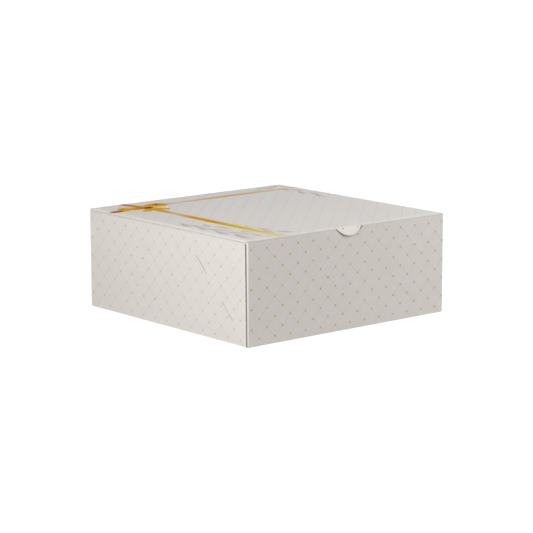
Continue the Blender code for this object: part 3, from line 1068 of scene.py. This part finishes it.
def print_dots(name, pattern, ink):
    """Prints the dots of one sheet, flat, then folds them with the sheet's creases."""
    dots = new_piece(name, flat_mesh(name, pattern.outline, pattern.holes))
    grid = {"first_dot": (*pattern.first_dot, 0.0), "pitch": LATTICE_PITCH * MM}
    use_nodes(dots, DOTS, dot_radius=DOT_RADIUS, ink_height=DOT_HEIGHT, ink=ink, **grid)
    bake(dots)
    count = len(dots.data.polygons) // (DOT_SIDES + 2)
    fold(dots, pattern.creases, ink)
    settle(dots, pattern.place)
    print(name, count)
    return dots


def without_flaps(pattern, edge):
    """The part of the front or back wall that is printed: all but its glue flaps."""
    outline = [(max(min(u, edge), -edge), v) for u, v in pattern.outline]
    return pattern._replace(outline=list(dict.fromkeys(outline)))


PRINTED_SHEETS = {
    "front_wall": (without_flaps(FRONT, joggle - GROOVE_SLANT), "carton", GOLD_INK),
    "back_wall": (without_flaps(BACK, back_edge), "carton", GOLD_INK),
    "left_wall": (LEFT, "carton", GOLD_INK_WITH_PAINTED_SHEEN),
    "right_wall": (RIGHT, "carton", GOLD_INK_WITH_PAINTED_SHEEN),
    "lid": (LID, "lid", GOLD_INK_WITH_PAINTED_SHEEN),
    "tuck": (TUCK, "tuck", GOLD_INK),
    "tab": (TAB, "tab", GOLD_INK),
    "left_flap": (LEFT_FLAP, "left_flap", GOLD_INK_WITH_PAINTED_SHEEN),
    "right_flap": (RIGHT_FLAP, "right_flap", GOLD_INK_WITH_PAINTED_SHEEN),
}
for name, (pattern, body, ink) in PRINTED_SHEETS.items():
    dots = print_dots(f"{name}_dots", pattern, ink)
    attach(dots, body)

# %% [markdown]
# ## Ribbons and a bow
#
# On the lid two gold ribbons are printed, which cross at a bow. They are flat ink that imitates
# satin, in a metallic gold that runs from red-brown through orange to pale yellow. A band that
# follows a path is what Geometry Nodes' Curve to Mesh is for, so one tree makes every band. Each is
# drawn as a few points with a width and a shade at each, and the tree smooths what is between them.
#
# Prints that overlap would flicker if they lay at the same height, so each lies a few thousandths
# of a millimetre above the last.

# %% A tree that prints a band along a path
BAND_FACETS = 5


def smooth_path(tree, line, count):
    """The drawn line as a smooth curve with so many points."""
    path = add(tree, "GeometryNodeMeshToCurve", {"Mesh": line})
    kind = {"spline_type": "CATMULL_ROM"}
    smooth = add(tree, "GeometryNodeCurveSplineType", {"Curve": path}, **kind)
    return add(tree, "GeometryNodeResampleCurve", {"Curve": smooth, "Count": count})


def band_tree():
    """A band of ink along a drawn line, as wide as each of its points asks for."""
    inputs = {"Steps": "Int", "Top": "Float", "Ink": "Material"}
    tree = group_tree("Printed band", inputs)
    given = add(tree, "NodeGroupInput").outputs
    fine = smooth_path(tree, given["Geometry"], given["Steps"])
    level = add(tree, "GeometryNodeSetCurveNormal", {"Curve": fine}, mode="Z_UP")
    ends = {"Start": (-1.0, 0.0, 0.0), "End": (1.0, 0.0, 0.0)}
    nib = add(tree, "GeometryNodeCurvePrimitiveLine", ends)
    facets = add(tree, "GeometryNodeResampleCurve", {"Curve": nib, "Count": BAND_FACETS})
    width = add(tree, "GeometryNodeInputNamedAttribute", {"Name": "half_width"})
    sweep = {"Curve": level, "Profile Curve": facets, "Scale": width}
    band = add(tree, "GeometryNodeCurveToMesh", sweep)
    lift = add(tree, COMBINE, {"Z": given["Top"]})
    raised = add(tree, "GeometryNodeSetPosition", {"Geometry": band, "Offset": lift})
    return finished(tree, raised, given["Ink"])


BAND = band_tree()
print("the band tree has", len(BAND.nodes), "nodes")

# %% Satin ribbon ink
SATIN_SHADES = [
    (0.00, "#6B4426"),
    (0.15, "#DE6A1E"),
    (0.35, "#FFB400"),
    (0.50, "#F8BE38"),
    (0.70, "#FFE000"),
    (0.85, "#FFE75A"),
    (1.00, "#FFF0A8"),
]
CREAM = "#FBEBD0"
# The printed satin's threads in mm. Real ones are finer than the render can show.
SATIN_THREAD = 0.8


def satin_ink():
    """Gold process ink: smooth shades, with cream where the satin shines."""
    material, tree, shader = new_material("satin_gold_printing_ink")
    shade = add(tree, ATTRIBUTE, attribute_name="shade").outputs["Fac"]
    gold = add(tree, RAMP, {"Fac": shade}, stops=SATIN_SHADES)
    shine = add(tree, ATTRIBUTE, attribute_name="shine").outputs["Fac"]
    gleam = {"Factor": shine, "A": gold, "B": colour(CREAM)}
    satin = add(tree, MIX, gleam, data_type="RGBA")
    place = add(tree, "ShaderNodeTexCoord").outputs["Object"]
    weave = {"Vector": place, "Scale": 1 / (SATIN_THREAD * MM), "Detail": 2}
    threads = add(tree, NOISE, weave)
    gloss = add(tree, MAP_RANGE, {"Value": threads, "To Min": 0.42, "To Max": 0.5})
    looks = {"Base Color": satin, "Roughness": gloss, "Specular IOR Level": 0.0}
    plug(tree, shader, looks)
    return material


SATIN_INK = satin_ink()
print("made", SATIN_INK.name, "with", len(SATIN_SHADES), "shades")

# %% Printing on the lid
BAND_STEPS = 48
LOOP_STEPS = 40
MICRON = 0.001 * MM


def drawn_line(name, places):
    """A line on the flat lid, from millimetres off its left edge and off its back edge."""
    points = [(LEFT_X + x * MM, BACK_Y - back * MM, 0) for x, back in places]
    mesh = bpy.data.meshes.new(name)
    mesh.from_pydata(points, [(i, i + 1) for i in range(len(points) - 1)], [])
    return new_piece(name, mesh)


def print_on_lid(film, top):
    """Gives a flat print the thickness of its ink, down into the board, and joins it to the lid."""
    thicken(film, top * MICRON + DOT_SINK, 0, 0).use_even_offset = False
    settle(film, LID_PLACE)
    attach(film, "lid")


def print_band(name, points, top, steps):
    """One band of ink. Each point is a place and a half width in mm, a shade and a shine."""
    band = drawn_line(name, [point[:2] for point in points])
    for label, column, unit in (("half_width", 2, MM), ("shade", 3, 1), ("shine", 4, 1)):
        values = band.data.attributes.new(label, "FLOAT", "POINT").data
        for value, point in zip(values, points):
            value.value = point[column] * unit
    use_nodes(band, BAND, steps=steps, top=top * MICRON, ink=SATIN_INK)
    bake(band)
    if band.data.polygons[0].normal.z < 0:
        band.data.flip_normals()
    fold(band, LID_CREASES, SATIN_INK)
    bake(band)
    print_on_lid(band, top)


LAP_LENGTH = SKIN_ROLL * LAP / MM
left_end = -(FOLD_X + LEFT_X) / MM - LAP_LENGTH
right_end = 2 * HALF_WIDTH / MM - left_end
front_end = (BACK_Y + FOLD_Y) / MM + LAP_LENGTH
back_end = (BACK_Y - HINGE.y) / MM - SKIN_ROLL * CURL / MM
print("the ribbons run from", round(left_end, 2), "to", round(right_end, 2), "mm across the lid")

# %% The ribbons
WIDE = 4.7
NARROW = 3.2
RIBBONS = {
    "ribbon_to_front": (10, BAND_STEPS, [
        (46, 34, WIDE, 0.45, 0), (45.8, 62, WIDE, 0.47, 0), (45.6, 75, WIDE, 0.45, 0.45),
        (45.4, 86, WIDE, 0.45, 0.62), (45.1, 98, WIDE, 0.45, 0.4), (44.9, 114, WIDE, 0.42, 0),
        (44.6, 146, WIDE, 0.34, 0), (44.4, 166, WIDE, 0.58, 0), (44.1, 190, WIDE, 0.70, 0),
        (44, 212, WIDE, 0.80, 0.2), (44, 236, WIDE, 0.90, 0.4),
        (44, front_end, WIDE, 0.95, 0.5),
    ]),
    "ribbon_to_back": (10, LOOP_STEPS, [
        (46, 34, WIDE, 0.30, 0), (43, 22, 4.4, 0.28, 0), (40, 11, 4.2, 0.24, 0),
        (37.5, back_end, 3.8, 0.24, 0),
    ]),
    "ribbon_to_right": (13, BAND_STEPS, [
        (46, 32, WIDE, 0.40, 0), (70, 30, 3.8, 0.45, 0), (84, 29, NARROW, 0.50, 0.6),
        (98, 28.6, NARROW, 0.50, 0.7), (122, 28.5, NARROW, 0.45, 0.4),
        (146, 28.4, NARROW, 0.42, 0.1), (170, 28.3, NARROW, 0.50, 0.15),
        (200, 28.2, NARROW, 0.66, 0.25), (225, 28.1, NARROW, 0.78, 0.5),
        (right_end, 28, NARROW, 0.90, 0.8),
    ]),
    "ribbon_to_left": (13, LOOP_STEPS, [
        (46, 33, WIDE, 0.36, 0), (30, 34, WIDE, 0.30, 0), (16, 35.5, 4.2, 0.16, 0),
        (left_end, 37, 4.0, 0.13, 0),
    ]),
}
for name, (top, steps, points) in RIBBONS.items():
    print_band(name, points, top, steps)

print(len(RIBBONS), "ribbons")

# %% The bow
BOW = {
    "bow_left_tail": (16, LOOP_STEPS, [
        (46, 36, 2.6, 0.40, 0), (42, 43, 3.4, 0.46, 0), (36.5, 49, 4.6, 0.54, 0.15),
        (31.5, 55, 5.0, 0.56, 0),
    ]),
    "bow_right_tail": (16, LOOP_STEPS, [
        (47, 36, 2.4, 0.38, 0), (50.5, 44, 3.4, 0.46, 0), (55, 50.5, 4.6, 0.54, 0),
        (59.5, 56, 4.8, 0.60, 0),
    ]),
    "bow_left_loop": (20, LOOP_STEPS, [
        (44, 33, 2.4, 0.30, 0), (36, 28, 3.2, 0.34, 0.1), (28, 24, 3.4, 0.56, 0.3),
        (21, 23.5, 3.0, 0.60, 0), (18, 28, 3.0, 0.66, 0), (21, 34, 3.2, 0.68, 0),
        (30, 37, 3.4, 0.40, 0), (44, 35, 2.4, 0.20, 0),
    ]),
    "bow_right_loop": (20, LOOP_STEPS, [
        (48, 33, 2.4, 0.30, 0), (52, 26, 3.2, 0.42, 0.2), (60, 21.5, 3.4, 0.42, 0),
        (69, 22, 3.2, 0.28, 0), (73, 28, 3.2, 0.34, 0), (68, 33, 3.4, 0.40, 0),
        (59, 35, 3.2, 0.46, 0.4), (48, 35, 2.4, 0.30, 0),
    ]),
    "bow_left_opening": (24, LOOP_STEPS, [
        (20, 27, 0.8, 0.10, 0), (22.5, 27, 1.8, 0.03, 0), (28, 30, 2.0, 0.50, 0.4),
        (33, 32.5, 0.8, 0.50, 0.2),
    ]),
    "bow_right_opening": (24, LOOP_STEPS, [
        (57, 28.5, 0.8, 0.40, 0), (61, 27, 1.8, 0.30, 0), (67, 24.5, 2.0, 0.03, 0),
        (70, 25.5, 0.8, 0.06, 0),
    ]),
    "bow_knot": (29, LOOP_STEPS, [
        (41, 36, 2.6, 0.25, 0), (44, 36.5, 3.4, 0.06, 0), (48.5, 36, 3.4, 0.00, 0),
        (52, 35, 2.6, 0.12, 0),
    ]),
}
for name, (top, steps, points) in BOW.items():
    print_band(name, points, top, steps)

print("a bow of", len(BOW), "parts")

# %% [markdown]
# ## Leaf sprays in two corners
#
# Two corners of the lid carry a soft grey-brown ornament. Here it is a plain one of broad leaves,
# each printed as a wash that is dark along one edge and fades out to the other. Leaves along a stem
# are a repeat along a path, so a Geometry Nodes tree grows them: it smooths the drawn stem, sets a
# leaf on each side in turn, and varies size and angle from a fixed seed.

# %% A tree that grows leaves along a stem
LEAF_ALONG = 9
LEAF_ACROSS = 3
LEAF_SLIMNESS = 0.36
LEAF_SPREAD = (math.radians(9), math.radians(20))
LEAF_LIFT = 0.0002 * MM
LEAF_FULLNESS = 1.01
LEAF_SIZES = (0.75, 1.1)


def spray_tree():
    """Leaves to the left and right of a stem in turn, each flat and pointed at both ends."""
    inputs = {"Leaves": "Int", "Leaf length": "Float", "Top": "Float", "Seed": "Int"}
    inputs |= {"Ink": "Material"}
    tree = group_tree("Printed spray", inputs)
    given = add(tree, "NodeGroupInput").outputs
    stem = smooth_path(tree, given["Geometry"], given["Leaves"])
    grid = add(tree, "GeometryNodeMeshGrid", [2.0, 2.0, LEAF_ALONG, LEAF_ACROSS])
    point = add(tree, "GeometryNodeInputPosition")
    x, y = add(tree, "ShaderNodeSeparateXYZ", [point]).outputs[:2]
    leaf = grid
    for label, value in (("across", y), ("along", x)):
        mark = {"Geometry": leaf, "Name": label, "Value": value}
        leaf = add(tree, "GeometryNodeStoreNamedAttribute", mark)
    half = add(tree, MATH, [given["Leaf length"], 0.5], "MULTIPLY")
    forward = add(tree, MATH, [x, half, half], "MULTIPLY_ADD")
    belly = add(tree, MATH, [x, x], "MULTIPLY")
    taper_out = add(tree, MATH, [LEAF_FULLNESS, belly], "SUBTRACT")
    breadth = add(tree, MATH, [half, LEAF_SLIMNESS], "MULTIPLY")
    half_width = add(tree, MATH, [taper_out, breadth], "MULTIPLY")
    sideways = add(tree, MATH, [y, half_width], "MULTIPLY")
    leaf_point = add(tree, COMBINE, {"X": forward, "Y": sideways})
    leaf = add(tree, "GeometryNodeSetPosition", {"Geometry": leaf, "Position": leaf_point})
    index = add(tree, "GeometryNodeInputIndex")
    parity = add(tree, MATH, [index, 2.0], "MODULO")
    side = add(tree, MATH, [parity, 2.0, -1.0], "MULTIPLY_ADD")
    tangent = add(tree, "GeometryNodeInputTangent")
    tangent_x, tangent_y = add(tree, "ShaderNodeSeparateXYZ", [tangent]).outputs[:2]
    heading = add(tree, MATH, [tangent_y, tangent_x], "ARCTAN2")
    limits = [dict(zip(("Min", "Max"), pair)) for pair in (LEAF_SPREAD, LEAF_SIZES)]
    seed = {"Seed": given["Seed"]}
    lean, size = [add(tree, "FunctionNodeRandomValue", pair | seed) for pair in limits]
    angle = add(tree, MATH, [side, lean, heading], "MULTIPLY_ADD")
    turn = add(tree, COMBINE, {"Z": angle})
    growth = {"Points": stem, "Instance": leaf, "Rotation": turn, "Scale": size}
    leaves = add(tree, "GeometryNodeInstanceOnPoints", growth)
    height = add(tree, MATH, [index, LEAF_LIFT, given["Top"]], "MULTIPLY_ADD")
    rise = add(tree, COMBINE, {"Z": height})
    lifted = {"Instances": leaves, "Translation": rise, "Local Space": False}
    raised = add(tree, "GeometryNodeTranslateInstances", lifted)
    return finished(tree, raised, given["Ink"])


SPRAY = spray_tree()
print("the spray tree has", len(SPRAY.nodes), "nodes")

# %% Grey-brown ink
LEAF_SHADES = [(0.0, "#AF9F99"), (0.3, "#CBBEBA"), (0.65, "#DFD7D3"), (1.0, "#E8E3DE")]
TIP_FADE = 0.35
WASH_SIZE = 9 * MM


def leaf_ink():
    """Process ink in a soft warm grey: a wash that is dark at one edge of a leaf and fades out."""
    material, tree, shader = new_material("warm_grey_printing_ink")
    across = add(tree, ATTRIBUTE, attribute_name="across").outputs["Fac"]
    along = add(tree, ATTRIBUTE, attribute_name="along").outputs["Fac"]
    far = add(tree, MATH, [along, along], "MULTIPLY")
    fade = add(tree, MATH, [across, 0.5, 0.5], "MULTIPLY_ADD")
    place = add(tree, "ShaderNodeTexCoord").outputs["Object"]
    wash = add(tree, NOISE, {"Vector": place, "Scale": 1 / WASH_SIZE, "Detail": 2})
    cloudy = add(tree, MATH, [wash, 0.5, -0.25], "MULTIPLY_ADD")
    faded = add(tree, MATH, [fade, cloudy])
    factor = add(tree, MATH, [far, TIP_FADE, faded], "MULTIPLY_ADD")
    shade = add(tree, RAMP, {"Fac": factor}, stops=LEAF_SHADES)
    plug(tree, shader, {"Base Color": shade, "Roughness": 0.5, "Specular IOR Level": 0.05})
    return material


LEAF_INK = leaf_ink()
print("made", LEAF_INK.name)

# %% The sprays
LEAF_TOP = 3
STEM_STEP = 0.1
# Each stem: how many leaves, how long they are in mm, and its places on the lid.
STEMS = [
    (7, 34, [(17, 132), (16, 160), (17, 186), (20, 211)]),
    (5, 26, [(30, 150), (29, 175), (31, 198), (33, 218)]),
    (4, 24, [(54, 186), (54, 198), (55, 210), (57, 222)]),
    (5, 26, [(238, 20), (239, 40), (238, 60), (238, 78)]),
    (4, 24, [(196, 16), (208, 15), (216, 13), (222, 13)]),
]


def print_spray(name, number, count, leaf_length, stem):
    """One spray: the stem is drawn flat, in mm on the lid, and the tree sets its leaves."""
    spray = drawn_line(name, stem)
    top = (LEAF_TOP + STEM_STEP * number) * MICRON
    leaves = {"leaves": count, "leaf_length": leaf_length * MM, "seed": number}
    use_nodes(spray, SPRAY, top=top, ink=LEAF_INK, **leaves)
    bake(spray)
    reach = [max(abs(point.co[axis]) for point in spray.data.vertices) for axis in (0, 1)]
    print_on_lid(spray, LEAF_TOP)
    return reach


for number, (count, leaf_length, stem) in enumerate(STEMS, 1):
    reach = print_spray(f"leaf_spray_{number}", number, count, leaf_length, stem)
    print("spray", number, "reaches", [round(value / MM, 1) for value in reach])

# %% [markdown]
# ## What each sheet stands for
#
# Every sheet replaces the solids of the frame that have its panels, and rides on their body, so
# that it moves with the joints.

# %% Bodies and replaced panels
STANDS_FOR = {
    front: ("carton", "front_wall", "front_left_glue_flap", "front_right_glue_flap"),
    back: ("carton", "back_wall", "back_left_glue_flap", "back_right_glue_flap"),
    left: ("carton", "left_wall", "left_front_corner", "left_back_corner"),
    right: ("carton", "right_wall", "right_front_corner", "right_back_corner"),
    base: ("carton", "base_panel"),
    lid: ("lid", "lid_panel"),
    tuck: ("tuck", "tuck_flap"),
    tab: ("tab", "thumb_tab"),
    left_flap: ("left_flap", "lid_left_flap"),
    right_flap: ("right_flap", "lid_right_flap"),
}
for sheet, (body, *panels) in STANDS_FOR.items():
    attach(sheet, body)
    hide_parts(*panels)

print(len(STANDS_FOR), "sheets stand for", len(frame["nodes"]), "panels")

# %% [markdown]
# ## Floor, light and camera
#
# The box stands on a plain white sweep. A large soft lamp to the left makes the left wall the
# brightest face, as in the photograph. A second, above the front and to the right, lights the front
# wall and the lid. A third stands low behind the box on the right and grazes the lid. The
# surroundings look white to the camera and in reflections, but they light the box only dimly. So the
# background is white and the board keeps its tone.

# %% The floor
FLOOR_GLOW_SHARE = 0.6
FLOOR_GLOW = 1.6
FLOOR_HALF_SIZE = 4.0
WHITE = (1, 1, 1, 1)


def white_to_viewer(tree):
    """A socket that is 1 for rays from the camera and in reflections, and 0 for light itself."""
    rays = add(tree, "ShaderNodeLightPath").outputs
    seen = [rays["Is Glossy Ray"], rays["Is Transmission Ray"]]
    in_mirror = add(tree, MATH, seen, "MAXIMUM")
    return add(tree, MATH, [rays["Is Camera Ray"], in_mirror], "MAXIMUM")


def studio_floor():
    """White paper. To the camera it is partly self-lit, which leaves a faint shadow."""
    material, tree, shader = new_material("white_paper_floor")
    plug(tree, shader, {"Base Color": colour("#DAD8D5"), "Roughness": 0.9})
    glow = add(tree, "ShaderNodeEmission", {"Color": WHITE, "Strength": FLOOR_GLOW})
    share = add(tree, MATH, [white_to_viewer(tree), FLOOR_GLOW_SHARE], "MULTIPLY")
    surface = add(tree, "ShaderNodeMixShader", [share, shader, glow])
    plug(tree, tree.nodes["Material Output"], {"Surface": surface})
    return material


floor_mesh = bpy.data.meshes.new("floor")
far = FLOOR_HALF_SIZE
corners = [(-far, -far, 0), (far, -far, 0), (far, far, 0), (-far, far, 0)]
floor_mesh.from_pydata(corners, [], [(0, 1, 2, 3)])
floor = new_piece("floor", floor_mesh)
floor_mesh.materials.append(studio_floor())
print("floor", 2 * FLOOR_HALF_SIZE, "m square")

# %% The surroundings
SKY_STRENGTH = 0.1
world = bpy.data.worlds.new("studio")
world.use_nodes = True
bpy.context.scene.world = world
sky = world.node_tree
for node in list(sky.nodes):
    sky.nodes.remove(node)

lit = add(sky, "ShaderNodeBackground", {"Color": colour("#FBFBFF"), "Strength": SKY_STRENGTH})
seen = add(sky, "ShaderNodeBackground", {"Color": WHITE, "Strength": 1.0})
mixed = add(sky, "ShaderNodeMixShader", [white_to_viewer(sky), lit, seen])
add(sky, "ShaderNodeOutputWorld", {"Surface": mixed})
print("sky strength", SKY_STRENGTH)

# %% The lamps


def soft_lamp(name, place, target, size, power):
    """A square area lamp that faces its target."""
    data = bpy.data.lights.new(name, "AREA")
    data.shape = "SQUARE"
    data.size = size
    data.energy = power
    lamp = bpy.data.objects.new(name, data)
    lamp.location = place
    toward = Vector(target) - Vector(place)
    lamp.rotation_euler = toward.to_track_quat("-Z", "Y").to_euler()
    bpy.context.scene.collection.objects.link(lamp)


# Each lamp: its place, what it faces, its size in metres and its power in watts.
LAMPS = {
    "key_left": ((-0.92, -0.22, 0.42), (-0.12, -0.07, 0.05), 0.5, 5.8),
    "front_above": ((0.62, -0.7, 0.7), (0.02, -0.1, 0.08), 0.5, 6.7),
    "back_right": ((0.9, 1.0, 0.3), (0.1, 0.1, 0.05), 0.8, 4.3),
}
for name, settings in LAMPS.items():
    soft_lamp(name, *settings)

print(len(LAMPS), "lamps")

# %% The camera
CAMERA_PLACE = Vector((-1.3330, -1.6043, 0.4423))
CAMERA_YAW = math.radians(39.75)
CAMERA_PITCH = math.radians(10.815)
CAMERA_ROLL = math.radians(-0.15)
CAMERA_LENS = 141.15
SENSOR_WIDTH = 36.0

camera_data = bpy.data.cameras.new("camera")
camera_data.lens = CAMERA_LENS
camera_data.sensor_width = SENSOR_WIDTH
camera_data.sensor_fit = "HORIZONTAL"
camera = bpy.data.objects.new("camera", camera_data)
camera.location = CAMERA_PLACE
aim = Euler((SQUARE_FOLD - CAMERA_PITCH, 0, -CAMERA_YAW)).to_matrix()
camera.rotation_euler = (aim @ Matrix.Rotation(CAMERA_ROLL, 3, "Z")).to_euler()
bpy.context.scene.collection.objects.link(camera)
bpy.context.scene.camera = camera
bpy.context.scene.view_settings.view_transform = "Standard"
print("camera", round(CAMERA_PLACE.length, 2), "m away")
